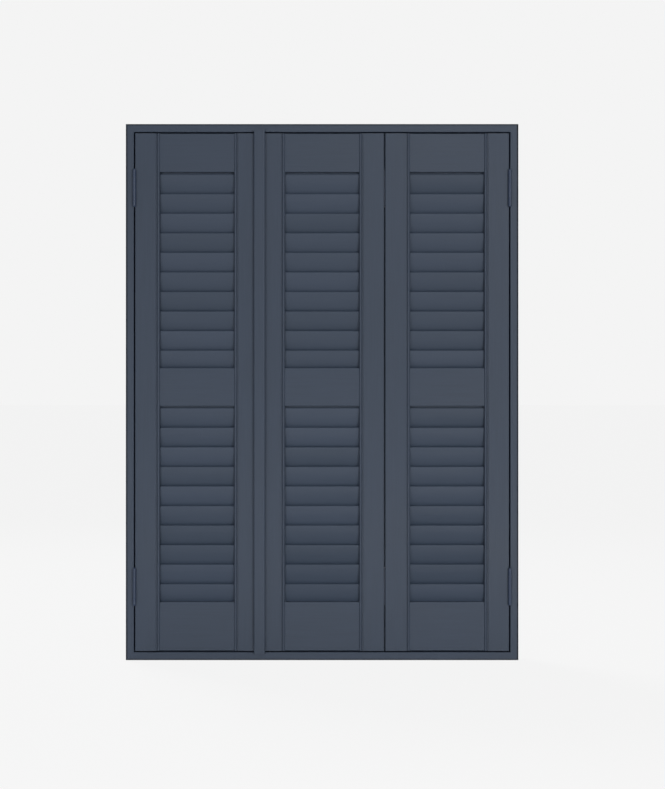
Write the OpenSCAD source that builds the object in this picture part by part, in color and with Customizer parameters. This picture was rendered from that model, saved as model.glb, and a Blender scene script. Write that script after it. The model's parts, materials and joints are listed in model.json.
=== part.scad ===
// Three-panel louvred window shutter in its own frame.
// One panel hangs on the left jamb. The other two are hinged to each other and hang on the right jamb:
// they fold in two, back to back, as they open into the room.
// X runs across the window, Y from the room in front (-Y) to the window behind (+Y), and Z is up.
// The origin is the middle of the underside of the frame's sill.

/* [Frame] */
// Overall width of the frame
frame_w = 804; // [720:1:960]
// Overall height of the frame
frame_h = 1098; // [1000:1:1300]
// Depth of the frame from its front face to its back face
frame_depth = 44; // [40:1:60]
// Width of the frame's face as seen from the room
frame_face = 16.5; // [16:0.5:30]
// How far the stop behind the panels stands in from the frame's inner face
stop_reach = 16; // [14:0.5:22]
// Clearance between a closed panel and the stop behind it
stop_clear = 1; // [0.5:0.1:2]
// Width of the shadow groove round the frame's outer front edge
groove_w = 2.4; // [1:0.1:3]
// Depth of the shadow groove
groove_d = 5; // [2:0.5:8]
// Thickness of the lip outside the shadow groove
groove_lip = 0.8; // [0.8:0.1:2]
// Chamfer on the long edges of the timber
arris = 0.8; // [0.3:0.1:1.2]

/* [Fixings] */
// Radius of the screw holes through the jambs into the window reveal
fixing_r = 2.5; // [2:0.1:3]
// Radius of the countersink at the mouth of those holes
fixing_head_r = 5; // [4:0.1:6]
// Height between the two screw holes in a jamb
fixing_spacing = 700; // [400:10:860]

/* [Panels] */
// Thickness of the stiles
panel_t = 27; // [25:0.5:30]
// Gap round each panel and between panels
panel_gap = 2.6; // [2.4:0.1:4]
// How far the panels stand proud of the frame's front face
panel_proud = 0.5; // [0.3:0.1:1.5]
// Width of a stile, bead included
stile_w = 50.5; // [48:0.5:64]
// Height of the top rail
top_rail_h = 79; // [60:1:110]
// Height of the middle rail
mid_rail_h = 78; // [60:1:110]
// Height of the bottom rail
bottom_rail_h = 100; // [70:1:140]
// How far a rail's faces lie behind the stiles' faces
rail_setback = 3; // [2:0.5:4]
// Radius of the bead along a stile's inner edge
bead_r = 2.6; // [2:0.1:3]
// How far the bead's crest lies behind the stile's face
bead_drop = 0.3; // [0:0.1:0.8]
// Width of the sunk quirk beside the bead
quirk_w = 2.8; // [2:0.1:4]
// Depth of the quirk
quirk_d = 2.8; // [1.5:0.1:4]
// Bevel on the front of the middle panel's free edge, which clears the left panel as the pair folds
meeting_bevel = 3; // [2.5:0.1:5]
// Thickness of the tongue that keeps daylight out of the folding pair's seam
tongue_t = 5; // [3:0.5:8]
// How far the tongue reaches into the middle panel's groove
tongue_lap = 2; // [1:0.1:3]
// Clearance round the tongue in its groove
tongue_clear = 0.6; // [0.5:0.1:1]
// Depth of the tongue's root in the right panel's stile
tongue_root = 5; // [3:0.5:8]
// Distance from the ends of the tongue to the hinge leaves
tongue_stop = 1; // [0.8:0.1:3]
// Length of a rail's tenon inside the stile
tenon_len = 26; // [15:1:28]
// Thickness of a tenon
tenon_t = 9; // [7:0.5:12]
// Shoulder above and below a tenon
tenon_shoulder = 12; // [11:1:18]
// Clearance round a tenon in its mortise
tenon_clear = 0.1; // [0.05:0.05:0.3]

/* [Louvres] */
// Width of a slat from edge to edge
slat_w = 46; // [43:0.5:48]
// Thickness of a slat at its middle
slat_t = 8; // [7:0.1:10]
// Radius of a slat's rounded edges
slat_edge_r = 2.2; // [1.5:0.1:3]
// How far a slat's curved faces run into its rounded edges, short of their middle
slat_edge_lap = 0.1; // [0.05:0.05:0.3]
// Lean of the closed slats from upright, with the top edge towards the room
slat_tilt = 12; // [11:0.5:20]
// Nearest wanted height from one slat to the next
slat_pitch_wanted = 40; // [37:0.5:41]
// Gap between the first slat's top edge and the rail above it
slat_top_gap = 3.5; // [2:0.1:5]
// Gap between a slat's end and the stile
slat_end_gap = 0.3; // [0.2:0.1:2]
// Room round the last slat's lower edge in the rail's rebate
slat_clear = 1.5; // [1:0.1:3]
// Height of the lip behind a rail's lower edge that shuts out light above the first slat
light_lip_h = 7; // [5:0.5:10]
// Radius of a slat's end pins
slat_pin_r = 3; // [2:0.1:3.4]
// Length of a slat's end pins inside the stile
slat_pin_len = 8; // [5:0.5:12]
// Clearance round the end pins
slat_pin_clear = 0.1; // [0.05:0.05:0.3]
// Width of the tilt bar behind the slats
tilt_bar_w = 12; // [8:1:20]
// Thickness of the tilt bar
tilt_bar_t = 3.5; // [2:0.1:4]
// Gap between the tilt bar and the slats' lower edges
tilt_bar_gap = 0.5; // [0.3:0.1:1]
// How far the tilt bar runs past its first and last staples
tilt_bar_end = 6; // [3:0.5:7]
// Radius of the staples that join the slats to the tilt bar
staple_r = 1.6; // [1:0.1:2]
// Distance from the middle of a slat's rounded lower edge up to its staple
staple_inset = 7; // [5:0.5:10]
// Distance from the tilt bar to the panel's right stile
tilt_bar_inset = 18; // [8:1:40]

/* [Cover strip] */
// Width of the cover strip over the meeting edges
strip_w = 23; // [20:0.5:30]
// Thickness of the cover strip
strip_t = 6; // [5:0.5:10]
// Thickness of the batten that holds the strip off the panels, so that the middle one can fold out from behind it
batten_t = 4; // [3.6:0.1:5]
// Radius of the strip's front edges
strip_round = 2.5; // [1:0.1:3.5]
// How far the strip's ends lap over the frame
strip_lap = 3; // [1:0.5:8]

/* [Hinges] */
// Height of a hinge
hinge_h = 75; // [70:1:90]
// Height of the middle knuckle
mid_knuckle_h = 42; // [20:1:50]
// Outer radius of the knuckles
knuckle_r = 3.6; // [3.2:0.1:4]
// Gap between neighbouring knuckles
knuckle_gap = 0.3; // [0.1:0.05:0.5]
// Chamfer round the ends of a knuckle
knuckle_chamfer = 0.5; // [0.2:0.05:0.55]
// Room between a knuckle and the timber beside it
knuckle_clear = 0.3; // [0.3:0.1:1]
// Radius of the hinge pin
hinge_pin_r = 2; // [1.6:0.1:2.2]
// Running clearance round the hinge pin
hinge_pin_clear = 0.05; // [0.02:0.01:0.1]
// Radius of the pin's heads
pin_head_r = 3; // [2.8:0.1:3.2]
// Thickness of the pin's heads
pin_head_t = 1.6; // [1:0.1:3]
// Depth of a hinge leaf from the pin's axis
leaf_depth = 26; // [22:0.5:28]
// Gap between the closed leaves
leaf_gap = 0.2; // [0.1:0.05:0.4]
// Drop from the frame's top to the middle of the top hinges
top_hinge_drop = 131; // [120:1:200]
// Rise from the frame's underside to the middle of the bottom hinges
bottom_hinge_rise = 151; // [130:1:220]
// Radius of a hinge screw's shank
screw_r = 1.8; // [1.2:0.1:2]
// Radius of a hinge screw's head
screw_head_r = 3.2; // [2.6:0.1:3.6]
// Length, across the head, of the arms of a hinge screw's cross recess
recess_l = 3; // [2.4:0.1:3.2]
// Width of the recess's arms
recess_w = 0.8; // [0.6:0.05:1]
// Depth of the recess
recess_d = 1.5; // [0.8:0.1:2]
// Length of a hinge screw
screw_len = 15; // [10:0.5:15]
// Height between a leaf's screws
screw_spacing = 26; // [20:1:30]
// How far the middle screw is set to the side of the other two
screw_stagger = 6; // [0:0.5:6]
// Clearance round a screw in its hole
screw_clear = 0.05; // [0.02:0.01:0.1]

/* [Catches] */
// Radius of a magnet in the head's stop
magnet_r = 3; // [2:0.1:3.5]
// Length of a magnet
magnet_len = 8; // [4:0.5:10]
// Radius of a strike plate in the panel's back
strike_r = 3.5; // [2.5:0.1:4]
// Thickness of a strike plate
strike_t = 1; // [0.6:0.1:2]
// Distance from a catch to the panel's free edge
catch_inset = 25; // [15:1:35]
// Clearance round a magnet or plate in its hole
catch_clear = 0.05; // [0.02:0.01:0.1]

/* [Hidden] */
SIDES = ["left", "right"];
PANELS = ["left", "middle", "right"];
SECTIONS = ["upper", "lower"];
HINGE_LINES = ["left", "right", "fold"];
LEVELS = ["top", "bottom"];
RAILS = ["top", "mid", "bottom"];

frame_pieces = ["frame_head", "frame_sill", "frame_left_jamb", "frame_right_jamb",
    "head_stop", "sill_stop", "left_jamb_stop", "right_jamb_stop", "catch_magnets"];
stile_nodes = [for (p = PANELS) for (s = SIDES) str(p, "_panel_", s, "_stile")];
rail_nodes = [for (p = PANELS) for (r = RAILS) str(p, "_panel_", r, "_rail")];
louvre_nodes = [for (p = PANELS) for (s = SECTIONS) str(p, "_", s, "_louvres")];
strip_nodes = ["cover_strip", "strip_batten"];
hinge_nodes = [for (l = HINGE_LINES) for (v = LEVELS) for (k = ["fixed_leaf", "moving_leaf", "pin"])
    str(l, "_", v, "_hinge_", k)];
screw_nodes = ["frame_hinge_screws", "left_panel_hinge_screws",
    "middle_panel_hinge_screws", "right_panel_hinge_screws"];
strike_nodes = ["left_strike_plate", "middle_strike_plate"];

paint = "#454c5b";
hinge_paint = "#4a5160";
pin_steel = "#5a606c";
bare_steel = "#b4b7bb";
round_fn = 48;
arc_fn = 360;
cut = 1;

// Depths, from the front to the back
front_y = -frame_depth / 2;
back_y = frame_depth / 2;
panel_y = front_y - panel_proud;
stop_y = panel_y + panel_t + stop_clear;

// The frame's opening and the three panels in it
inner_w = frame_w - 2 * frame_face;
panel_w = (inner_w - 4 * panel_gap) / 3;
panel_h = frame_h - 2 * frame_face - 2 * panel_gap;
panel_z = frame_face + panel_gap;
function panel_x(p) = -inner_w / 2 + panel_gap + search([p], PANELS)[0] * (panel_w + panel_gap);

seam_x = panel_x("middle") - panel_gap / 2;

// The light of a panel, between its stiles and rails
rail_t = panel_t - 2 * rail_setback;
opening_w = panel_w - 2 * stile_w;
opening_h = (panel_h - top_rail_h - mid_rail_h - bottom_rail_h) / 2;
function rail_z(r) = r == "bottom" ? 0 : r == "mid" ? bottom_rail_h + opening_h : panel_h - top_rail_h;
function rail_h(r) = r == "bottom" ? bottom_rail_h : r == "mid" ? mid_rail_h : top_rail_h;
function opening_top(s) = s == "upper" ? rail_z("top") : rail_z("mid");

// The slats in a light
slat_count = round(opening_h / slat_pitch_wanted);
slat_pitch = opening_h / slat_count;
slat_reach = slat_w / 2 - slat_edge_r;
slat_half_h = slat_reach * cos(slat_tilt) + slat_edge_r;
slat_y = panel_t / 2;
slat_low_y = slat_y + slat_reach * sin(slat_tilt);
slat_high_y = slat_y - slat_reach * sin(slat_tilt);
staple_reach = slat_reach - staple_inset;
staple_y = slat_y + staple_reach * sin(slat_tilt);
tilt_bar_y = slat_low_y + slat_edge_r + tilt_bar_gap;
function slat_z(s, i) = opening_top(s) - slat_top_gap - slat_half_h - i * slat_pitch;
function staple_z(s, i) = slat_z(s, i) - staple_reach * cos(slat_tilt);
rebate_h = slat_top_gap + 2 * slat_half_h - slat_pitch + slat_clear;
rebate_y = slat_low_y - slat_t / 2 - slat_clear;
light_lip_y = slat_high_y + slat_t / 2 + slat_clear;
function rebate_depth(r) = r == "top" ? 0 : rebate_h;
function lip_depth(r) = r == "bottom" ? 0 : light_lip_h;

// The hinge axes: the outer pins stand in front of the panels, the folding pair's pin behind them
outer_pin_x = inner_w / 2 - panel_gap / 2;
outer_pin_y = panel_y - knuckle_r - knuckle_clear;
fold_pin_x = panel_x("right") - panel_gap / 2;
fold_pin_y = panel_y + panel_t + knuckle_r + knuckle_clear;
leaf_t = (panel_gap - leaf_gap) / 2;
end_knuckle_h = (hinge_h - mid_knuckle_h) / 2 - knuckle_gap;
function hinge_z(v) = v == "top" ? frame_h - top_hinge_drop : bottom_hinge_rise;

// The catches at the free edges of the left and middle panels
catch_z = frame_h - frame_face - stop_reach / 2;
function catch_x(p) = p == "left" ? panel_x("left") + panel_w - catch_inset : panel_x("middle") + catch_inset;

// Section of a frame member: x is the distance in from the frame's outer face, y the depth
module frame_section() {
    difference() {
        polygon([[arris, front_y], [frame_face - arris, front_y], [frame_face, front_y + arris],
            [frame_face, back_y], [0, back_y], [0, front_y + arris]]);
        translate([groove_lip, front_y - cut])
            square([groove_w, groove_d + cut]);
    }
}

// Section of the stop planted on a frame member's inner face
module stop_section() {
    reach = frame_face + stop_reach;
    polygon([[frame_face, stop_y], [reach - arris, stop_y], [reach, stop_y + arris], [reach, back_y],
        [frame_face, back_y]]);
}

// A section run along one side of the frame with mitred ends, standing along Z with the outer face at x = 0
module mitred(length) {
    reach = frame_face + stop_reach;
    intersection() {
        linear_extrude(length) children();
        translate([0, back_y + cut, 0])
            rotate([90, 0, 0])
                linear_extrude(frame_depth + 2 * cut)
                    polygon([[0, 0], [reach, reach], [reach, length - reach], [0, length]]);
    }
}

// Puts a mitred section on one side of the frame
module on_side(side) {
    if (side == "sill")
        translate([frame_w / 2, 0, 0])
            rotate([0, -90, 0])
                mitred(frame_w) children();
    else if (side == "head")
        translate([-frame_w / 2, 0, frame_h])
            rotate([0, 90, 0])
                mitred(frame_w) children();
    else
        mirror([side == "right" ? 1 : 0, 0, 0])
            translate([-frame_w / 2, 0, 0])
                mitred(frame_h) children();
}

module frame_member(side) {
    color(paint)
        difference() {
            on_side(side) frame_section();
            reveal_fixing_holes(side);
            if (side == "left" || side == "right")
                for (v = LEVELS)
                    at_hinge(side, v) leaf_screws(screw_clear);
        }
}

module stop(side) {
    color(paint)
        difference() {
            on_side(side) stop_section();
            reveal_fixing_holes(side);
            if (side == "head")
                for (p = ["left", "middle"])
                    magnet(p, catch_clear);
        }
}

// The screw holes of a jamb and its stop
module reveal_fixing_holes(side) {
    if (side == "left" || side == "right")
        mirror([side == "right" ? 1 : 0, 0, 0])
            for (end = [-1, 1])
                translate([-frame_w / 2, (stop_y + back_y) / 2, frame_h / 2 + end * fixing_spacing / 2])
                    reveal_fixing_hole();
}

// Screw hole through a jamb and its stop, with its countersink in the stop's inner face
module reveal_fixing_hole() {
    reach = frame_face + stop_reach;
    rotate([0, 90, 0])
        translate([0, 0, -cut])
            cylinder(h = reach + 2 * cut, r = fixing_r, $fn = round_fn);
    translate([reach, 0, 0])
        rotate([0, -90, 0])
            translate([0, 0, -cut])
                cylinder(h = fixing_head_r - fixing_r + cut, r1 = fixing_head_r + cut, r2 = fixing_r,
                    $fn = round_fn);
}

// Magnet let into the head's stop, flush with the face that the panel closes on
module magnet(p, clear = 0) {
    translate([catch_x(p), stop_y, catch_z])
        rotate([-90, 0, 0])
            cylinder(h = magnet_len + clear, r = magnet_r + clear, $fn = round_fn);
}

module catch_magnets() {
    color(bare_steel)
        for (p = ["left", "middle"])
            magnet(p);
}

// Steel plate let into the back of a panel, facing its magnet
module strike_plate(p, clear = 0) {
    color(bare_steel)
        translate([catch_x(p), panel_y + panel_t - strike_t, catch_z])
            rotate([-90, 0, 0])
                translate([0, 0, -clear])
                    cylinder(h = strike_t + 2 * clear, r = strike_r + clear, $fn = round_fn);
}

// Puts a shape at the lower front left corner of a panel
module in_panel(p) {
    translate([panel_x(p), panel_y, panel_z])
        children();
}

// Section of a stile: x runs in from its outer edge, y back from its front face
module stile_section(bevel) {
    bead_zone = quirk_w + 2 * bead_r;
    difference() {
        polygon([[bevel + arris, 0], [stile_w, 0], [stile_w, panel_t - arris], [stile_w - arris, panel_t],
            [arris, panel_t], [0, panel_t - arris], [bevel, arris]]);
        translate([stile_w - bead_zone, -cut])
            square([bead_zone + cut, quirk_d + cut]);
    }
    translate([stile_w - bead_r, bead_drop + bead_r])
        circle(r = bead_r, $fn = round_fn);
}

module stile(p, side) {
    bevel = p == "middle" && side == "left" ? meeting_bevel : 0;
    color(paint)
        difference() {
            union() {
                in_panel(p)
                    difference() {
                        translate([side == "right" ? panel_w : 0, 0, 0])
                            mirror([side == "right" ? 1 : 0, 0, 0])
                                linear_extrude(panel_h)
                                    stile_section(bevel);
                        for (r = RAILS)
                            rail_tenon(r, tenon_clear);
                        for (s = SECTIONS)
                            for (i = [0:slat_count - 1])
                                slat_pin(s, i, slat_pin_clear);
                    }
                if (p == "right" && side == "left")
                    seam_tongue();
            }
            if (p == "middle" && side == "right")
                seam_tongue(tongue_clear);
            for (v = LEVELS)
                stile_screw_holes(p, side, v);
            if (p == "left" && side == "right" || p == "middle" && side == "left")
                strike_plate(p, catch_clear);
        }
}

// Holes for the screws of whichever hinge leaf lies on this stile
module stile_screw_holes(p, side, v) {
    if (p == "left" && side == "left")
        at_hinge("left", v) mirror([1, 0, 0]) leaf_screws(screw_clear);
    if (p == "right" && side == "right")
        at_hinge("right", v) mirror([1, 0, 0]) leaf_screws(screw_clear);
    if (p == "right" && side == "left")
        at_hinge("fold", v) leaf_screws(screw_clear);
    if (p == "middle" && side == "right")
        at_hinge("fold", v) mirror([1, 0, 0]) leaf_screws(screw_clear);
}

// A rail's two tenons and the core between them, in the panel's own place
module rail_tenon(r, clear = 0) {
    length = opening_w + 2 * (tenon_len + clear);
    height = rail_h(r) - rebate_depth(r) - 2 * tenon_shoulder + 2 * clear;
    translate([panel_w / 2 - length / 2, panel_t / 2 - tenon_t / 2 - clear, rail_z(r) + tenon_shoulder - clear])
        cube([length, tenon_t + 2 * clear, height]);
}

// Section of a rail: x runs back from its front face, y up from its lower front edge.
// A rebate in the upper edge takes the slat above, and a lip behind the lower edge backs the slat below.
module rail_section(h, rebate, lip) {
    rebate_x = rebate_y - rail_setback;
    lip_x = light_lip_y - rail_setback;
    upper_back = rebate > 0
        ? [[rail_t, h - rebate], [rebate_x, h - rebate], [rebate_x, h]]
        : [[rail_t, h - arris], [rail_t - arris, h]];
    lower_back = lip > 0
        ? [[lip_x, 0], [lip_x, -lip], [rail_t - arris, -lip], [rail_t, arris - lip]]
        : [[rail_t - arris, 0], [rail_t, arris]];
    polygon(concat([[arris, 0]], lower_back, upper_back, [[arris, h], [0, h - arris], [0, arris]]));
}

module rail(p, r) {
    color(paint)
        in_panel(p) {
            translate([stile_w, rail_setback, rail_z(r)])
                rotate([90, 0, 90])
                    linear_extrude(opening_w)
                        rail_section(rail_h(r), rebate_depth(r), lip_depth(r));
            rail_tenon(r);
        }
}

// Section of a slat: a lens with rounded edges, x across its width
module slat_section() {
    bulge = slat_t / 2 - slat_edge_r;
    face_r = (slat_reach * slat_reach + bulge * bulge) / (2 * bulge);
    intersection() {
        translate([0, slat_t / 2 - face_r])
            circle(r = face_r, $fn = 2 * arc_fn);
        translate([0, face_r - slat_t / 2])
            circle(r = face_r, $fn = 2 * arc_fn);
        square([2 * (slat_reach - slat_edge_lap), slat_t], center = true);
    }
    for (end = [-1, 1])
        translate([end * slat_reach, 0])
            circle(r = slat_edge_r, $fn = round_fn);
}

// A slat's two end pins and the core between them, in the panel's own place
module slat_pin(s, i, clear = 0) {
    translate([panel_w / 2, slat_y, slat_z(s, i)])
        rotate([0, 90, 0])
            cylinder(h = opening_w + 2 * (slat_pin_len + clear), r = slat_pin_r + clear,
                center = true, $fn = round_fn);
}

// The staple that joins a slat to the tilt bar behind it
module staple(s, i, x) {
    translate([x, staple_y, staple_z(s, i)])
        rotate([-90, 0, 0])
            cylinder(h = tilt_bar_y + tilt_bar_t / 2 - staple_y, r = staple_r, $fn = round_fn);
}

// The slats of one light, closed, with the tilt bar that links them from behind
module louvres(p, s) {
    slat_length = opening_w - 2 * slat_end_gap;
    bar_x = panel_w - stile_w - tilt_bar_inset - tilt_bar_w;
    bar_bottom = staple_z(s, slat_count - 1) - tilt_bar_end;
    bar_top = staple_z(s, 0) + tilt_bar_end;
    color(paint)
        in_panel(p) {
            for (i = [0:slat_count - 1]) {
                translate([panel_w / 2 - slat_length / 2, slat_y, slat_z(s, i)])
                    rotate([90, 0, 90])
                        linear_extrude(slat_length)
                            rotate(90 + slat_tilt)
                                slat_section();
                slat_pin(s, i);
                staple(s, i, bar_x + tilt_bar_w / 2);
            }
            translate([bar_x, tilt_bar_y, bar_bottom])
                cube([tilt_bar_w, tilt_bar_t, bar_top - bar_bottom]);
        }
}

// Section of the cover strip: x from its left edge, y back from its front face
module strip_section() {
    translate([strip_round, 0])
        square([strip_w - 2 * strip_round, strip_t]);
    translate([0, strip_round])
        square([strip_w, strip_t - strip_round]);
    for (x = [strip_round, strip_w - strip_round])
        translate([x, strip_round])
            circle(r = strip_round, $fn = round_fn);
}

module cover_strip() {
    overrun = panel_gap + strip_lap;
    color(paint)
        translate([seam_x - strip_w / 2, panel_y - batten_t - strip_t, panel_z - overrun])
            linear_extrude(panel_h + 2 * overrun)
                strip_section();
}

// The batten behind the strip, on the edge of the left panel
module strip_batten() {
    color(paint)
        translate([seam_x - strip_w / 2, panel_y - batten_t, panel_z])
            cube([(strip_w - panel_gap) / 2, batten_t, panel_h]);
}

// The tongue along the folding pair's seam, in lengths that stop short of the hinges
module seam_tongue(clear = 0) {
    stop_h = hinge_h / 2 + tongue_stop;
    bottoms = [panel_z, hinge_z("bottom") + stop_h, hinge_z("top") + stop_h];
    tops = [hinge_z("bottom") - stop_h, hinge_z("top") - stop_h, panel_z + panel_h];
    for (i = [0:2])
        translate([panel_x("right") - panel_gap - tongue_lap - clear,
                panel_y + panel_t / 2 - tongue_t / 2 - clear, bottoms[i] - clear])
            cube([panel_gap + tongue_lap + tongue_root + clear, tongue_t + 2 * clear,
                tops[i] - bottoms[i] + 2 * clear]);
}

// Puts a hinge, drawn about its pin with the fixed leaf on the left, on one of the three hinge lines
module at_hinge(line, v) {
    x = line == "left" ? -outer_pin_x : line == "right" ? outer_pin_x : fold_pin_x;
    y = line == "fold" ? fold_pin_y : outer_pin_y;
    translate([x, y, hinge_z(v)])
        rotate([0, 0, line == "fold" ? 180 : 0])
            mirror([line == "right" ? 1 : 0, 0, 0])
                children();
}

// Puts its children at a leaf's three screws, with Z running into the timber from the head's face
module at_leaf_screws() {
    middle_y = (knuckle_r + knuckle_clear + leaf_depth) / 2;
    for (i = [-1:1])
        translate([-leaf_gap / 2, middle_y + (i == 0 ? 1 : -1) * screw_stagger / 2, i * screw_spacing])
            rotate([0, -90, 0])
                children();
}

// The bodies of a leaf's screws on the left of the pin, heads flush with the leaf, or their holes with clear
module leaf_screws(clear = 0) {
    at_leaf_screws() {
        cylinder(h = leaf_t, r1 = screw_head_r + clear, r2 = screw_r + clear, $fn = round_fn);
        cylinder(h = screw_len + clear, r = screw_r + clear, $fn = round_fn);
    }
}

// The screws themselves, with a cross recess in each head
module recessed_screws() {
    difference() {
        leaf_screws();
        at_leaf_screws()
            for (turn = [0, 90])
                rotate([0, 0, turn])
                    translate([-recess_l / 2, -recess_w / 2, -cut])
                        cube([recess_l, recess_w, recess_d + cut]);
    }
}

// A knuckle's barrel with chamfered ends
module knuckle(height) {
    end_r = knuckle_r - knuckle_chamfer;
    rotate_extrude($fn = round_fn)
        polygon([[0, 0], [end_r, 0], [knuckle_r, knuckle_chamfer], [knuckle_r, height - knuckle_chamfer],
            [end_r, height], [0, height]]);
}

// A leaf on the left of the pin, with knuckles over the given [bottom, top] heights
module leaf(knuckles) {
    root_y = knuckle_r + knuckle_clear;
    difference() {
        union() {
            translate([-leaf_gap / 2 - leaf_t, root_y, -hinge_h / 2])
                cube([leaf_t, leaf_depth - root_y, hinge_h]);
            for (k = knuckles)
                translate([0, 0, k[0]]) {
                    knuckle(k[1] - k[0]);
                    translate([-leaf_gap / 2 - leaf_t, 0, 0])
                        cube([leaf_t, root_y, k[1] - k[0]]);
                }
        }
        translate([0, 0, -hinge_h / 2 - cut])
            cylinder(h = hinge_h + 2 * cut, r = hinge_pin_r + hinge_pin_clear, $fn = round_fn);
        leaf_screws(screw_clear);
    }
}

module fixed_leaf(line, v) {
    color(hinge_paint)
        at_hinge(line, v)
            leaf([[-hinge_h / 2, -hinge_h / 2 + end_knuckle_h], [hinge_h / 2 - end_knuckle_h, hinge_h / 2]]);
}

module moving_leaf(line, v) {
    color(hinge_paint)
        at_hinge(line, v)
            mirror([1, 0, 0])
                leaf([[-mid_knuckle_h / 2, mid_knuckle_h / 2]]);
}

module hinge_pin(line, v) {
    color(pin_steel)
        at_hinge(line, v) {
            cylinder(h = hinge_h, r = hinge_pin_r, center = true, $fn = round_fn);
            for (end = [0, 1])
                mirror([0, 0, end])
                    translate([0, 0, hinge_h / 2])
                        cylinder(h = pin_head_t, r1 = pin_head_r, r2 = hinge_pin_r, $fn = round_fn);
        }
}

// The screws that one body's hinge leaves are held by
module hinge_screws(body) {
    color(pin_steel)
        for (v = LEVELS) {
            if (body == "frame")
                for (side = SIDES)
                    at_hinge(side, v) recessed_screws();
            if (body == "left_panel")
                at_hinge("left", v) mirror([1, 0, 0]) recessed_screws();
            if (body == "middle_panel")
                at_hinge("fold", v) mirror([1, 0, 0]) recessed_screws();
            if (body == "right_panel") {
                at_hinge("right", v) mirror([1, 0, 0]) recessed_screws();
                at_hinge("fold", v) recessed_screws();
            }
        }
}

frame_member("head");  // frame_head
frame_member("sill");  // frame_sill
stop("head");  // head_stop
stop("sill");  // sill_stop
for (side = SIDES) {
    frame_member(side);
    stop(side);
}
catch_magnets();
cover_strip();
strip_batten();
strike_plate("left");  // left_strike_plate
strike_plate("middle");  // middle_strike_plate

for (p = PANELS) {
    for (side = SIDES)
        stile(p, side);
    for (r = RAILS)
        rail(p, r);
    for (s = SECTIONS)
        louvres(p, s);
}

for (line = HINGE_LINES)
    for (v = LEVELS) {
        fixed_leaf(line, v);
        moving_leaf(line, v);
        hinge_pin(line, v);
    }

for (body = ["frame", "left_panel", "middle_panel", "right_panel"])
    hinge_screws(body);
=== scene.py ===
"""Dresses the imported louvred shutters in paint, enamel and plating, on a stage with a camera.

The CAD solids carry every shape that shows from the room. This file gives each of them its finish, plants
slim beads behind the slats' ends that keep light out, and sets the light and the camera of the photograph.
"""

from __future__ import annotations

import json
import logging
import math
from dataclasses import dataclass, field
from enum import Enum
from typing import Any

import bpy
import numpy as np
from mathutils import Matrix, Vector

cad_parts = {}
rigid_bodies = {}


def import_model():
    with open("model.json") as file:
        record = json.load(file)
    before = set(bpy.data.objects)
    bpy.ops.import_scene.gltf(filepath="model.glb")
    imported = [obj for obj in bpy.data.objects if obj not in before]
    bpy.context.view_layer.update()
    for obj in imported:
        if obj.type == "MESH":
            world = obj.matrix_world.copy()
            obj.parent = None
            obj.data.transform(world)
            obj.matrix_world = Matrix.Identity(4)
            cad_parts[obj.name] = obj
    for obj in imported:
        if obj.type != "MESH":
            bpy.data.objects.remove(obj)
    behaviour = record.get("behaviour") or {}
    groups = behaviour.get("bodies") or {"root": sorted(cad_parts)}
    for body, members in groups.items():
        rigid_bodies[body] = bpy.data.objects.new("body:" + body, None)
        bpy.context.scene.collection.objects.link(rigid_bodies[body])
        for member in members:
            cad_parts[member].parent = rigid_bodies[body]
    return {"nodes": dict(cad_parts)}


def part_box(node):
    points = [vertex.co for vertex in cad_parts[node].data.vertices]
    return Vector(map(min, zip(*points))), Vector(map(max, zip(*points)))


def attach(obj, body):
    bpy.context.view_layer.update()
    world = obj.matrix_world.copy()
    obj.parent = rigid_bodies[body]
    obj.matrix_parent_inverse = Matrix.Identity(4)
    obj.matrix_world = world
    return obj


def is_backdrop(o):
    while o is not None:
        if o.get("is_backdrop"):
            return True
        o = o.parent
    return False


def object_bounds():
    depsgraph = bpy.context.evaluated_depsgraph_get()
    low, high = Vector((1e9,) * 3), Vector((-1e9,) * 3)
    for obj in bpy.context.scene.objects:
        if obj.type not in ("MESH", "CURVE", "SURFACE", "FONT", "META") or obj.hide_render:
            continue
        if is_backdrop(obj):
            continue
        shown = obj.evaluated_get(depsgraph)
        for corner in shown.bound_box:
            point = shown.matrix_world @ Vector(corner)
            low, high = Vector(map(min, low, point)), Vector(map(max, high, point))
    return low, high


LOG = logging.getLogger("shutters")
MM = 0.001
IMAGE_W, IMAGE_H = 665, 789

# A Mix node's sockets for colour have numbers, because its sockets for other kinds share their names.
MIX_A, MIX_B, MIX_RESULT = 6, 7, 2
# Nearly all values of a noise lie between these.
NOISE_LOW, NOISE_HIGH = 0.3, 0.7

PANELS = ("left", "middle", "right")
SIDES = ("left", "right")
LIGHTS = ("upper", "lower")
HINGE_LINES = ("left", "right", "fold")
HINGE_LEVELS = ("top", "bottom")

Socket = bpy.types.NodeSocket
Point = tuple[float, float, float]


class GrainRun(Enum):
    """The direction in which a piece of timber runs, as the scale of its grain along X, Y and Z."""

    UPRIGHT = (1.0, 1.0, 0.03)
    ACROSS = (0.03, 1.0, 1.0)


def hex_to_linear(code: str) -> tuple[float, float, float, float]:
    """Turns an sRGB hex colour into linear values.

    Args:
        code: The colour as "#rrggbb".

    Returns:
        Red, green, blue and an alpha of 1.
    """
    srgb = np.array([int(code[i:i + 2], 16) for i in (1, 3, 5)]) / 255.0
    linear = np.where(srgb <= 0.04045, srgb / 12.92, ((srgb + 0.055) / 1.055) ** 2.4)
    return (*linear.tolist(), 1.0)


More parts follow.
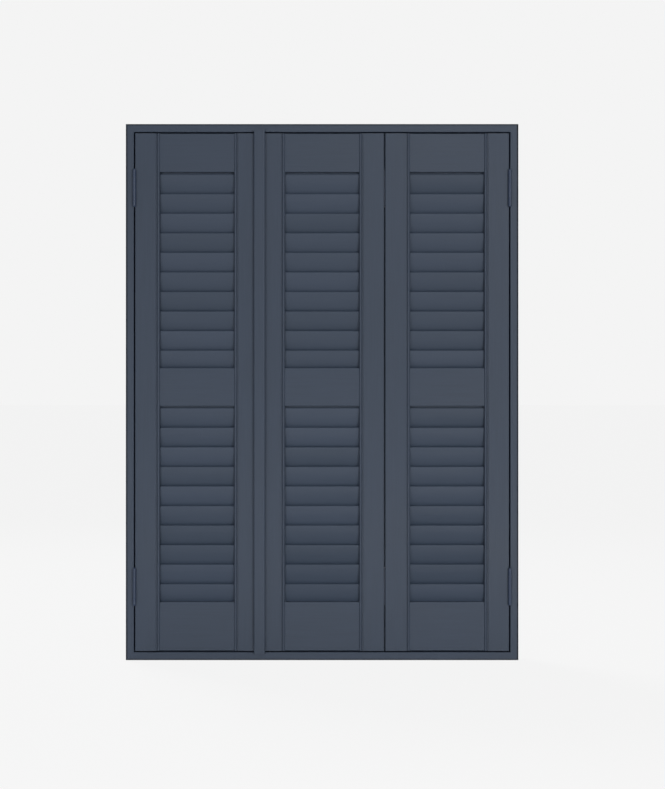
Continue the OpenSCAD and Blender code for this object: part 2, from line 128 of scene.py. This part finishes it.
def add_node(
    tree: bpy.types.NodeTree, kind: str, inputs: dict[str | int, Any] | None = None, **settings: Any
) -> bpy.types.Node:
    """Adds a node, sets its properties, and sets or links its inputs.

    Args:
        tree: The node tree that it goes into.
        kind: The node's type name, without the leading ShaderNode.
        inputs: Input name or number to a value, or to the output socket that feeds it.
        **settings: The node's own properties.

    Returns:
        The new node.
    """
    node = tree.nodes.new("ShaderNode" + kind)
    for name, value in settings.items():
        setattr(node, name, value)
    for key, value in (inputs or {}).items():
        if isinstance(value, bpy.types.NodeSocket):
            tree.links.new(value, node.inputs[key])
        else:
            node.inputs[key].default_value = value
    return node


def new_material(name: str) -> tuple[bpy.types.Material, bpy.types.NodeTree]:
    """Makes an empty node material.

    Args:
        name: The material's name.

    Returns:
        The material and its node tree.
    """
    material = bpy.data.materials.new(name)
    material.use_nodes = True
    material.node_tree.nodes.clear()
    return material, material.node_tree


def mesh_object(name: str, points: np.ndarray, faces: list[list[int]]) -> bpy.types.Object:
    """Puts points and faces into a new mesh object at the origin.

    Args:
        name: The object's name.
        points: One row of x, y, z for each vertex, in metres.
        faces: The vertex numbers of each face.

    Returns:
        The new object, linked to the scene.
    """
    mesh = bpy.data.meshes.new(name)
    mesh.from_pydata(points.tolist(), [], faces)
    mesh.update()
    made = bpy.data.objects.new(name, mesh)
    bpy.context.scene.collection.objects.link(made)
    return made


def grid_faces(rows: int, columns: int, wrap: bool = False) -> np.ndarray:
    """Lists the quads of a grid of points that is stored row by row.

    Args:
        rows: Number of rows of points.
        columns: Number of points in a row.
        wrap: Whether the last column joins the first.

    Returns:
        One row of four vertex numbers for each quad.
    """
    step = np.arange(columns if wrap else columns - 1)
    row = np.arange(rows - 1)[:, None] * columns
    following = (step + 1) % columns
    corners = (row + step, row + following, row + columns + following, row + columns + step)
    return np.stack(corners, axis=-1).reshape(-1, 4)


@dataclass(frozen=True)
class SatinTimberPaint:
    """Satin water-based paint, sprayed on planed hardwood.

    The eye sees an even slate blue with a soft sheen. Close by, the paint film has a faint orange peel, the
    open grain under it leaves shallow streaks along each piece, and the tone drifts a little from piece to
    piece. The streaks and the peel are drawn coarser than the real ones, so that they show at 2 mm a pixel.
    """

    name: str
    run: GrainRun
    paint: str = "#384252"
    paint_deep: str = "#303a48"
    roughness: float = 0.44
    roughness_swing: float = 0.03
    ior: float = 1.48
    sheen_level: float = 0.22
    grain_width_mm: float = 3.2
    grain_relief_mm: float = 0.3
    grain_strength: float = 0.10
    peel_mm: float = 2.4
    peel_relief_mm: float = 0.2
    peel_strength: float = 0.06
    drift_mm: float = 160.0
    drift_gain: float = 0.7
    streak_zero: float = 0.35

    def build(self) -> bpy.types.Material:
        """Makes the material.

        Returns:
            The finished material.
        """
        material, tree = new_material(self.name)
        place = add_node(tree, "TexCoord").outputs["Object"]
        streak, peel = self.film(tree, place)
        drift = add_node(
            tree, "TexNoise", {"Vector": place, "Scale": 1 / (self.drift_mm * MM), "Detail": 2.0})
        tone = self.tone(tree, place, streak, drift.outputs["Fac"])
        colour = add_node(
            tree, "Mix",
            {"Factor": tone, MIX_A: hex_to_linear(self.paint_deep), MIX_B: hex_to_linear(self.paint)},
            data_type="RGBA")
        gloss = add_node(
            tree, "MapRange",
            {"Value": drift.outputs["Fac"], "From Min": NOISE_LOW, "From Max": NOISE_HIGH,
             "To Min": self.roughness - self.roughness_swing,
             "To Max": self.roughness + self.roughness_swing})
        grain_bump = add_node(
            tree, "Bump",
            {"Height": streak, "Strength": self.grain_strength, "Distance": self.grain_relief_mm * MM})
        bump = add_node(
            tree, "Bump",
            {"Height": peel, "Strength": self.peel_strength, "Distance": self.peel_relief_mm * MM,
             "Normal": grain_bump.outputs["Normal"]})
        shader = add_node(
            tree, "BsdfPrincipled",
            {"Base Color": colour.outputs[MIX_RESULT], "Roughness": gloss.outputs["Result"],
             "IOR": self.ior, "Specular IOR Level": self.sheen_level, "Normal": bump.outputs["Normal"]})
        add_node(tree, "OutputMaterial", {"Surface": shader.outputs["BSDF"]})
        return material

    def film(self, tree: bpy.types.NodeTree, place: Socket) -> tuple[Socket, Socket]:
        """Adds the grain's streaks and the paint's orange peel.

        Args:
            tree: The material's node tree.
            place: The object coordinates.

        Returns:
            The heights of the streaks and of the peel, each from 0 to 1.
        """
        stretched = add_node(tree, "Mapping", {"Vector": place, "Scale": self.run.value})
        streak = add_node(
            tree, "TexNoise",
            {"Vector": stretched.outputs["Vector"], "Scale": 1 / (self.grain_width_mm * MM), "Detail": 3.0,
             "Roughness": 0.6})
        peel = add_node(
            tree, "TexNoise", {"Vector": place, "Scale": 1 / (self.peel_mm * MM), "Detail": 1.0})
        return streak.outputs["Fac"], peel.outputs["Fac"]

    def tone(self, tree: bpy.types.NodeTree, place: Socket, streak: Socket, drift: Socket) -> Socket:
        """Adds what sets the tone between the deep and the plain paint: the drift, and the streaks on it.

        Args:
            tree: The material's node tree.
            place: The object coordinates; not used here, but read by LouvrePaint's tone.
            streak: The height of the grain's streaks.
            drift: The slow change of tone over the surface.

        Returns:
            A factor from 0, deep, to 1, plain.
        """
        low_streak = add_node(tree, "Math", {0: streak, 1: self.streak_zero}, operation="SUBTRACT")
        return add_node(
            tree, "Math", {0: drift, 1: self.drift_gain, 2: low_streak.outputs[0]},
            operation="MULTIPLY_ADD", use_clamp=True).outputs[0]


@dataclass(frozen=True)
class LouvrePaint(SatinTimberPaint):
    """The same paint on the slats.

    Its colours are set a shade lighter than the panels' paint: painted light that makes up for the shade
    on the slats' downward-tilted faces. Each slat also has a tone of its own.
    """

    # A shade lighter than the panels' paint, as painted light against the shade on the slats' faces.
    paint: str = "#3b4555"
    paint_deep: str = "#333d4b"
    top_m: float = 0.0
    pitch_m: float = 0.04
    panel_step_m: float = 0.2557
    own_share: float = 0.5

    def tone(self, tree: bpy.types.NodeTree, place: Socket, streak: Socket, drift: Socket) -> Socket:
        """Adds a tone for each slat to that of the paint.

        A slat's number is how many pitches its points lie below the light's top, rounded down. A panel's
        number is how many panels they lie from the middle. A white noise of the two numbers gives the tone.

        Args:
            tree: The material's node tree.
            place: The object coordinates.
            streak: The height of the grain's streaks.
            drift: The slow change of tone over the surface.

        Returns:
            A factor from 0, deep, to 1, plain.
        """
        plain = super().tone(tree, place, streak, drift)
        axes = add_node(tree, "SeparateXYZ", {0: place})
        below = add_node(tree, "Math", {0: self.top_m, 1: axes.outputs["Z"]}, operation="SUBTRACT")
        pitches = add_node(tree, "Math", {0: below.outputs[0], 1: self.pitch_m}, operation="DIVIDE")
        slat = add_node(tree, "Math", {0: pitches.outputs[0]}, operation="FLOOR")
        steps = add_node(tree, "Math", {0: axes.outputs["X"], 1: self.panel_step_m}, operation="DIVIDE")
        panel = add_node(tree, "Math", {0: steps.outputs[0]}, operation="ROUND")
        number = add_node(tree, "CombineXYZ", {"X": slat.outputs[0], "Y": panel.outputs[0]})
        chance = add_node(tree, "TexWhiteNoise", {"Vector": number.outputs[0]}, noise_dimensions="2D")
        own = add_node(tree, "Math", {0: chance.outputs["Value"], 1: self.own_share}, operation="MULTIPLY")
        return add_node(
            tree, "Math", {0: plain, 1: 1 - self.own_share, 2: own.outputs[0]},
            operation="MULTIPLY_ADD", use_clamp=True).outputs[0]


@dataclass(frozen=True)
class HingeEnamel:
    """Satin enamel, stoved on pressed steel.

    The eye sees the timber's blue, but deeper, harder and glossier, with a fine orange peel.
    """

    name: str = "hinge_enamel_on_steel"
    enamel: str = "#2d3a50"
    enamel_deep: str = "#263247"
    roughness: float = 0.36
    roughness_swing: float = 0.05
    ior: float = 1.5
    sheen_level: float = 0.26
    peel_mm: float = 1.6
    peel_relief_mm: float = 0.15
    peel_strength: float = 0.08
    patch_mm: float = 18.0

    def build(self) -> bpy.types.Material:
        """Makes the material.

        Returns:
            The finished material.
        """
        material, tree = new_material(self.name)
        place = add_node(tree, "TexCoord").outputs["Object"]
        peel = add_node(
            tree, "TexNoise", {"Vector": place, "Scale": 1 / (self.peel_mm * MM), "Detail": 2.0})
        patch = add_node(
            tree, "TexNoise", {"Vector": place, "Scale": 1 / (self.patch_mm * MM), "Detail": 2.0})
        colour = add_node(
            tree, "Mix",
            {"Factor": patch.outputs["Fac"], MIX_A: hex_to_linear(self.enamel_deep),
             MIX_B: hex_to_linear(self.enamel)},
            data_type="RGBA")
        gloss = add_node(
            tree, "MapRange",
            {"Value": patch.outputs["Fac"], "From Min": NOISE_LOW, "From Max": NOISE_HIGH,
             "To Min": self.roughness - self.roughness_swing,
             "To Max": self.roughness + self.roughness_swing})
        bump = add_node(
            tree, "Bump",
            {"Height": peel.outputs["Fac"], "Strength": self.peel_strength,
             "Distance": self.peel_relief_mm * MM})
        shader = add_node(
            tree, "BsdfPrincipled",
            {"Base Color": colour.outputs[MIX_RESULT], "Roughness": gloss.outputs["Result"],
             "IOR": self.ior, "Specular IOR Level": self.sheen_level, "Normal": bump.outputs["Normal"]})
        add_node(tree, "OutputMaterial", {"Surface": shader.outputs["BSDF"]})
        return material


@dataclass(frozen=True)
class PlatedSteel:
    """Steel with a thin bright plating, tumbled in the barrel.

    The eye sees a semi-bright grey with a fine clouded mottle, duller where the plating is cloudy.
    """

    name: str
    metal: str
    metal_dull: str
    roughness: float
    roughness_swing: float = 0.08
    cloud_mm: float = 2.5

    def build(self) -> bpy.types.Material:
        """Makes the material.

        Returns:
            The finished material.
        """
        material, tree = new_material(self.name)
        place = add_node(tree, "TexCoord").outputs["Object"]
        cloud = add_node(
            tree, "TexNoise", {"Vector": place, "Scale": 1 / (self.cloud_mm * MM), "Detail": 3.0})
        colour = add_node(
            tree, "Mix",
            {"Factor": cloud.outputs["Fac"], MIX_A: hex_to_linear(self.metal),
             MIX_B: hex_to_linear(self.metal_dull)},
            data_type="RGBA")
        gloss = add_node(
            tree, "MapRange",
            {"Value": cloud.outputs["Fac"], "From Min": NOISE_LOW, "From Max": NOISE_HIGH,
             "To Min": self.roughness - self.roughness_swing,
             "To Max": self.roughness + self.roughness_swing})
        shader = add_node(
            tree, "BsdfPrincipled",
            {"Base Color": colour.outputs[MIX_RESULT], "Metallic": 1.0,
             "Roughness": gloss.outputs["Result"]})
        add_node(tree, "OutputMaterial", {"Surface": shader.outputs["BSDF"]})
        return material


Finish = SatinTimberPaint | HingeEnamel | PlatedSteel


@dataclass
class Finishes:
    """The finishes of the shutters, each built once."""

    upright: SatinTimberPaint = SatinTimberPaint("satin_paint_on_upright_timber", GrainRun.UPRIGHT)
    across: SatinTimberPaint = SatinTimberPaint("satin_paint_on_level_timber", GrainRun.ACROSS)
    enamel: HingeEnamel = HingeEnamel()
    zinc: PlatedSteel = PlatedSteel("zinc_plated_steel", "#a9adb1", "#93989d", 0.42)
    nickel: PlatedSteel = PlatedSteel("nickel_plated_steel", "#c7c5bf", "#b4b2ac", 0.28)
    made: dict[str, bpy.types.Material] = field(default_factory=dict)

    def get(self, finish: Finish) -> bpy.types.Material:
        """Builds a finish at its first use.

        Args:
            finish: One of the finishes' descriptions.

        Returns:
            Its material.
        """
        if finish.name not in self.made:
            self.made[finish.name] = finish.build()
        return self.made[finish.name]


def coat(node: bpy.types.Object, material: bpy.types.Material) -> None:
    """Gives a CAD node one finish in place of what it was packed with.

    Args:
        node: The node's object.
        material: Its finish.
    """
    node.data.materials.clear()
    node.data.materials.append(material)
    LOG.info("coated %s with %s", node.name, material.name)


@dataclass
class WindowFrame:
    """The rebated frame with its magnets."""

    nodes: dict[str, bpy.types.Object]
    finishes: Finishes

    def dress(self) -> None:
        """Paints the head, sill, jambs and their stops, and plates the magnets."""
        paint = self.finishes
        for side in SIDES:
            coat(self.nodes[f"frame_{side}_jamb"], paint.get(paint.upright))
            coat(self.nodes[f"{side}_jamb_stop"], paint.get(paint.upright))
        for member in ("head", "sill"):
            coat(self.nodes[f"frame_{member}"], paint.get(paint.across))
            coat(self.nodes[f"{member}_stop"], paint.get(paint.across))
        coat(self.nodes["catch_magnets"], paint.get(paint.nickel))


@dataclass
class LouvredPanel:
    """One of the three panels: its stiles, rails and two lights of slats."""

    name: str
    nodes: dict[str, bpy.types.Object]
    finishes: Finishes
    slats_in_light: int = 10
    top_gap_m: float = 3.5 * MM
    bead_width: float = 3.0 * MM
    bead_depth: float = 4.8 * MM
    bead_round: float = 2.4 * MM
    bead_back: float = 1.4 * MM
    bead_arc_points: int = 9
    rail_clear: float = 0.3 * MM

    def plant_beads(self) -> None:
        """Plants slim beads on the stiles behind the slats' ends, as two strips for each light."""
        strips = [self.bead(side, light) for side in SIDES for light in LIGHTS]
        starts = np.cumsum([0] + [len(points) for points, _ in strips])
        points = np.concatenate([points for points, _ in strips])
        faces = [
            (np.array(face) + start).tolist()
            for start, (_, strip_faces) in zip(starts, strips)
            for face in strip_faces
        ]
        beads = mesh_object(f"{self.name}_panel_back_beads", points, faces)
        beads.data.materials.append(self.finishes.get(self.finishes.upright))
        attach(beads, f"{self.name}_panel")
        LOG.info("planted %s", beads.name)

    def bead(self, side: str, light: str) -> tuple[np.ndarray, list[list[int]]]:
        """Works out one strip: its section in X and Y, with the free back edge rounded, carried up Z.

        The section runs round from the stile's face: along the front, up the free side, round the quarter
        circle and along the back. The strip stands on the lower rail and stops under the upper rail's lip.

        Args:
            side: The stile that it is planted on, "left" or "right".
            light: "upper" or "lower".

        Returns:
            The points, and the vertex numbers of each face.
        """
        above, below = self.rails(light)
        stile_low, stile_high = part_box(f"{self.name}_panel_{side}_stile")
        turn = np.linspace(0.0, math.pi / 2, self.bead_arc_points)
        arc = np.stack((np.cos(turn) - 1, np.sin(turn) - 1), axis=-1) * self.bead_round
        corner = arc + (self.bead_width, self.bead_depth)
        section = np.concatenate(([[0.0, 0.0], [self.bead_width, 0.0]], corner, [[0.0, self.bead_depth]]))
        if side == "right":
            section = section[::-1] * (-1.0, 1.0)
        face_x = stile_high.x if side == "left" else stile_low.x
        section = section + (face_x, stile_high.y - self.bead_back - self.bead_depth)
        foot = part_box(f"{self.name}_panel_{below}_rail")[1].z + self.rail_clear
        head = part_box(f"{self.name}_panel_{above}_rail")[0].z - self.rail_clear
        count = len(section)
        points = np.empty((2, count, 3))
        points[..., :2] = section
        points[..., 2] = [[foot], [head]]
        ring = np.arange(count)
        faces = grid_faces(2, count, wrap=True).tolist() + [ring[::-1].tolist(), (ring + count).tolist()]
        return points.reshape(-1, 3), faces

    @staticmethod
    def rails(light: str) -> tuple[str, str]:
        """Names the rails above and below a light."""
        return ("top", "mid") if light == "upper" else ("mid", "bottom")

    def dress(self) -> None:
        """Paints the stiles along Z, and the rails and slats along X."""
        paint = self.finishes
        for side in SIDES:
            coat(self.nodes[f"{self.name}_panel_{side}_stile"], paint.get(paint.upright))
        for rail in ("top", "mid", "bottom"):
            coat(self.nodes[f"{self.name}_panel_{rail}_rail"], paint.get(paint.across))
        for light in LIGHTS:
            coat(self.nodes[f"{self.name}_{light}_louvres"], paint.get(self.slat_paint(light)))
        strike = self.nodes.get(f"{self.name}_strike_plate")
        if strike is not None:
            coat(strike, paint.get(paint.zinc))

    def slat_paint(self, light: str) -> LouvrePaint:
        """Describes the paint of one light's slats.

        The pitch is the light's height, from rail to rail, over the number of slats.

        Args:
            light: "upper" or "lower".

        Returns:
            The finish, with the light's own top and pitch.
        """
        above, below = self.rails(light)
        slats_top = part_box(f"{self.name}_{light}_louvres")[1].z
        rail_bottom = slats_top + self.top_gap_m
        rail_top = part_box(f"{self.name}_panel_{below}_rail")[1].z
        pitch = (rail_bottom - rail_top) / self.slats_in_light
        LOG.info("%s light from %s to %s rail has slats every %.2f mm", light, above, below, pitch / MM)
        return LouvrePaint(
            f"satin_paint_on_{light}_slats", GrainRun.ACROSS, top_m=slats_top, pitch_m=pitch)


@dataclass
class CoverStrip:
    """The strip over the seam of the left and middle panels, on its batten."""

    nodes: dict[str, bpy.types.Object]
    finishes: Finishes

    def dress(self) -> None:
        """Paints the strip and its batten along Z."""
        for piece in ("cover_strip", "strip_batten"):
            coat(self.nodes[piece], self.finishes.get(self.finishes.upright))


@dataclass
class Hinges:
    """The six butt hinges and their screws."""

    nodes: dict[str, bpy.types.Object]
    finishes: Finishes

    def dress(self) -> None:
        """Enamels the leaves and pins, and plates the screws."""
        paint = self.finishes
        for line in HINGE_LINES:
            for level in HINGE_LEVELS:
                for piece in ("fixed_leaf", "moving_leaf", "pin"):
                    coat(self.nodes[f"{line}_{level}_hinge_{piece}"], paint.get(paint.enamel))
        for body in ("frame", "left_panel", "middle_panel", "right_panel"):
            coat(self.nodes[f"{body}_hinge_screws"], paint.get(paint.zinc))


@dataclass(frozen=True)
class SoftBox:
    """A soft box with a grid over it, which keeps its light off the floor beside it."""

    name: str
    place: Point
    aim: Point
    size: tuple[float, float]
    power: float
    spread_deg: float = 70.0

    def hang(self) -> None:
        """Makes the lamp, with its width, height and power, and turns it to its aim."""
        light = bpy.data.lights.new(self.name, "AREA")
        light.shape = "RECTANGLE"
        light.size, light.size_y = self.size
        light.spread = math.radians(self.spread_deg)
        light.energy = self.power
        hung = bpy.data.objects.new(self.name, light)
        hung.location = self.place
        hung.rotation_mode = "QUATERNION"
        hung.rotation_quaternion = (Vector(self.aim) - Vector(self.place)).to_track_quat("-Z", "Y")
        bpy.context.scene.collection.objects.link(hung)
        LOG.info("hung %s at %.2f W", self.name, self.power)


@dataclass
class Stage:
    """A pale floor in a white surround, with soft lamps and an even sky that reaches every side."""

    floor_half: float = 200.0
    floor_points: int = 9
    paper: str = "#f2f2f3"
    paper_seen: str = "#f8f8f8"
    seen_share: float = 0.94
    surround: str = "#f4f4f4"
    sky_level: float = 0.18
    # The main pair stays under the level of the frame's top, which would show a white glare from behind.
    lamps: tuple[SoftBox, ...] = (
        SoftBox("right_soft_box", (2.6, -5.2, 0.75), (0.0, 0.0, 0.7), (1.8, 0.6), 13.7),
        SoftBox("left_soft_box", (-2.6, -5.2, 0.75), (0.0, 0.0, 0.7), (1.8, 0.6), 9.2),
        SoftBox("high_soft_box", (1.3, -5.2, 2.1), (0.0, 0.0, 1.5), (1.8, 0.6), 4.0, 40.0),
        SoftBox("back_soft_box", (-2.6, 4.6, 5.2), (0.0, 0.0, 0.5), (2.6, 2.6), 54.0),
        SoftBox("low_soft_box", (0.3, -1.6, 0.15), (0.0, 0.0, 0.0), (1.8, 0.2), 1.45),
    )

    def build(self) -> None:
        """Makes the floor, the lamps and the sky."""
        self.floor()
        for lamp in self.lamps:
            lamp.hang()
        self.sky()

    def floor(self) -> None:
        """Makes the floor: a level grid of X and Y, with the shutters' sill on it at Z = 0."""
        line = np.linspace(-self.floor_half, self.floor_half, self.floor_points)
        x, y = np.meshgrid(line, line)
        points = np.stack((x, y, np.zeros_like(x)), axis=-1)
        faces = grid_faces(self.floor_points, self.floor_points)
        paper = mesh_object("paper_floor", points.reshape(-1, 3), faces.tolist())
        paper.data.materials.append(self.paper_finish())
        paper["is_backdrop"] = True

    def paper_finish(self) -> bpy.types.Material:
        """Makes matt white paper that shows nearly white to the camera and still takes a faint shadow.

        Returns:
            The finished material.
        """
        material, tree = new_material("matt_white_paper")
        matt = add_node(tree, "BsdfDiffuse", {"Color": hex_to_linear(self.paper)})
        glow = add_node(tree, "Emission", {"Color": hex_to_linear(self.paper_seen), "Strength": 1.0})
        share = add_node(tree, "Math", {0: self.seen(tree), 1: self.seen_share}, operation="MULTIPLY")
        mixed = add_node(
            tree, "MixShader", {0: share.outputs[0], 1: matt.outputs[0], 2: glow.outputs[0]})
        add_node(tree, "OutputMaterial", {"Surface": mixed.outputs[0]})
        return material

    @staticmethod
    def seen(tree: bpy.types.NodeTree) -> Socket:
        """Adds a factor that is 1 for what the camera sees, directly, in a gloss or through glass.

        Args:
            tree: The node tree that it goes into.

        Returns:
            The factor's socket.
        """
        path = add_node(tree, "LightPath").outputs
        gloss = add_node(
            tree, "Math", {0: path["Is Camera Ray"], 1: path["Is Glossy Ray"]}, operation="MAXIMUM")
        return add_node(
            tree, "Math", {0: gloss.outputs[0], 1: path["Is Transmission Ray"]},
            operation="MAXIMUM").outputs[0]

    def sky(self) -> None:
        """Sets an even sky that lights every side, and a pale surround for the camera to see."""
        world = bpy.data.worlds.new("even_sky")
        world.use_nodes = True
        tree = world.node_tree
        tree.nodes.clear()
        light = add_node(
            tree, "Background", {"Color": hex_to_linear("#ffffff"), "Strength": self.sky_level})
        pale = add_node(tree, "Background", {"Color": hex_to_linear(self.surround), "Strength": 1.0})
        mixed = add_node(
            tree, "MixShader", {0: self.seen(tree), 1: light.outputs[0], 2: pale.outputs[0]})
        add_node(tree, "OutputWorld", {"Surface": mixed.outputs[0]})
        bpy.context.scene.world = world


@dataclass
class PhotoCamera:
    """A camera that sees the shutters as the photograph does, from straight ahead.

    The picture's height spans IMAGE_H pixels of mm_per_px at the frame's front face, so the lens is the
    sensor's length times the distance over that span. frame_px is the pixel of the frame's middle.
    """

    mm_per_px: float = 2.048
    frame_px: tuple[float, float] = (322.1, 392.1)
    distance: float = 4.0
    front_y: float = -0.022
    sensor: float = 36.0
    clip_far: float = 100.0

    def place(self, middle_z: float) -> None:
        """Makes the camera and sets it in the scene.

        Args:
            middle_z: Height of the middle of the frame.
        """
        scale = self.mm_per_px * MM
        data = bpy.data.cameras.new("photo_camera")
        data.sensor_width = self.sensor
        data.lens = self.sensor * self.distance / (IMAGE_H * scale)
        data.clip_end = self.clip_far
        camera = bpy.data.objects.new("photo_camera", data)
        x = (IMAGE_W / 2 - self.frame_px[0]) * scale
        z = middle_z - (IMAGE_H / 2 - self.frame_px[1]) * scale
        camera.location = (x, self.front_y - self.distance, z)
        camera.rotation_euler = (math.pi / 2, 0.0, 0.0)
        bpy.context.scene.collection.objects.link(camera)
        bpy.context.scene.camera = camera
        LOG.info("camera at %s with a %.1f mm lens", tuple(camera.location), data.lens)


def main() -> None:
    """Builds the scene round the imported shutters."""
    logging.basicConfig(level=logging.INFO, format="%(name)s: %(message)s")
    for leftover in list(bpy.data.objects):
        bpy.data.objects.remove(leftover)
    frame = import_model()
    cad_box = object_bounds()
    bpy.context.scene.view_settings.view_transform = "Standard"
    finishes = Finishes()
    nodes = frame["nodes"]
    PhotoCamera().place((cad_box[0].z + cad_box[1].z) / 2)
    WindowFrame(nodes, finishes).dress()
    for name in PANELS:
        panel = LouvredPanel(name, nodes, finishes)
        panel.dress()
        panel.plant_beads()
    CoverStrip(nodes, finishes).dress()
    Hinges(nodes, finishes).dress()
    Stage().build()


if __name__ == "__main__":
    main()
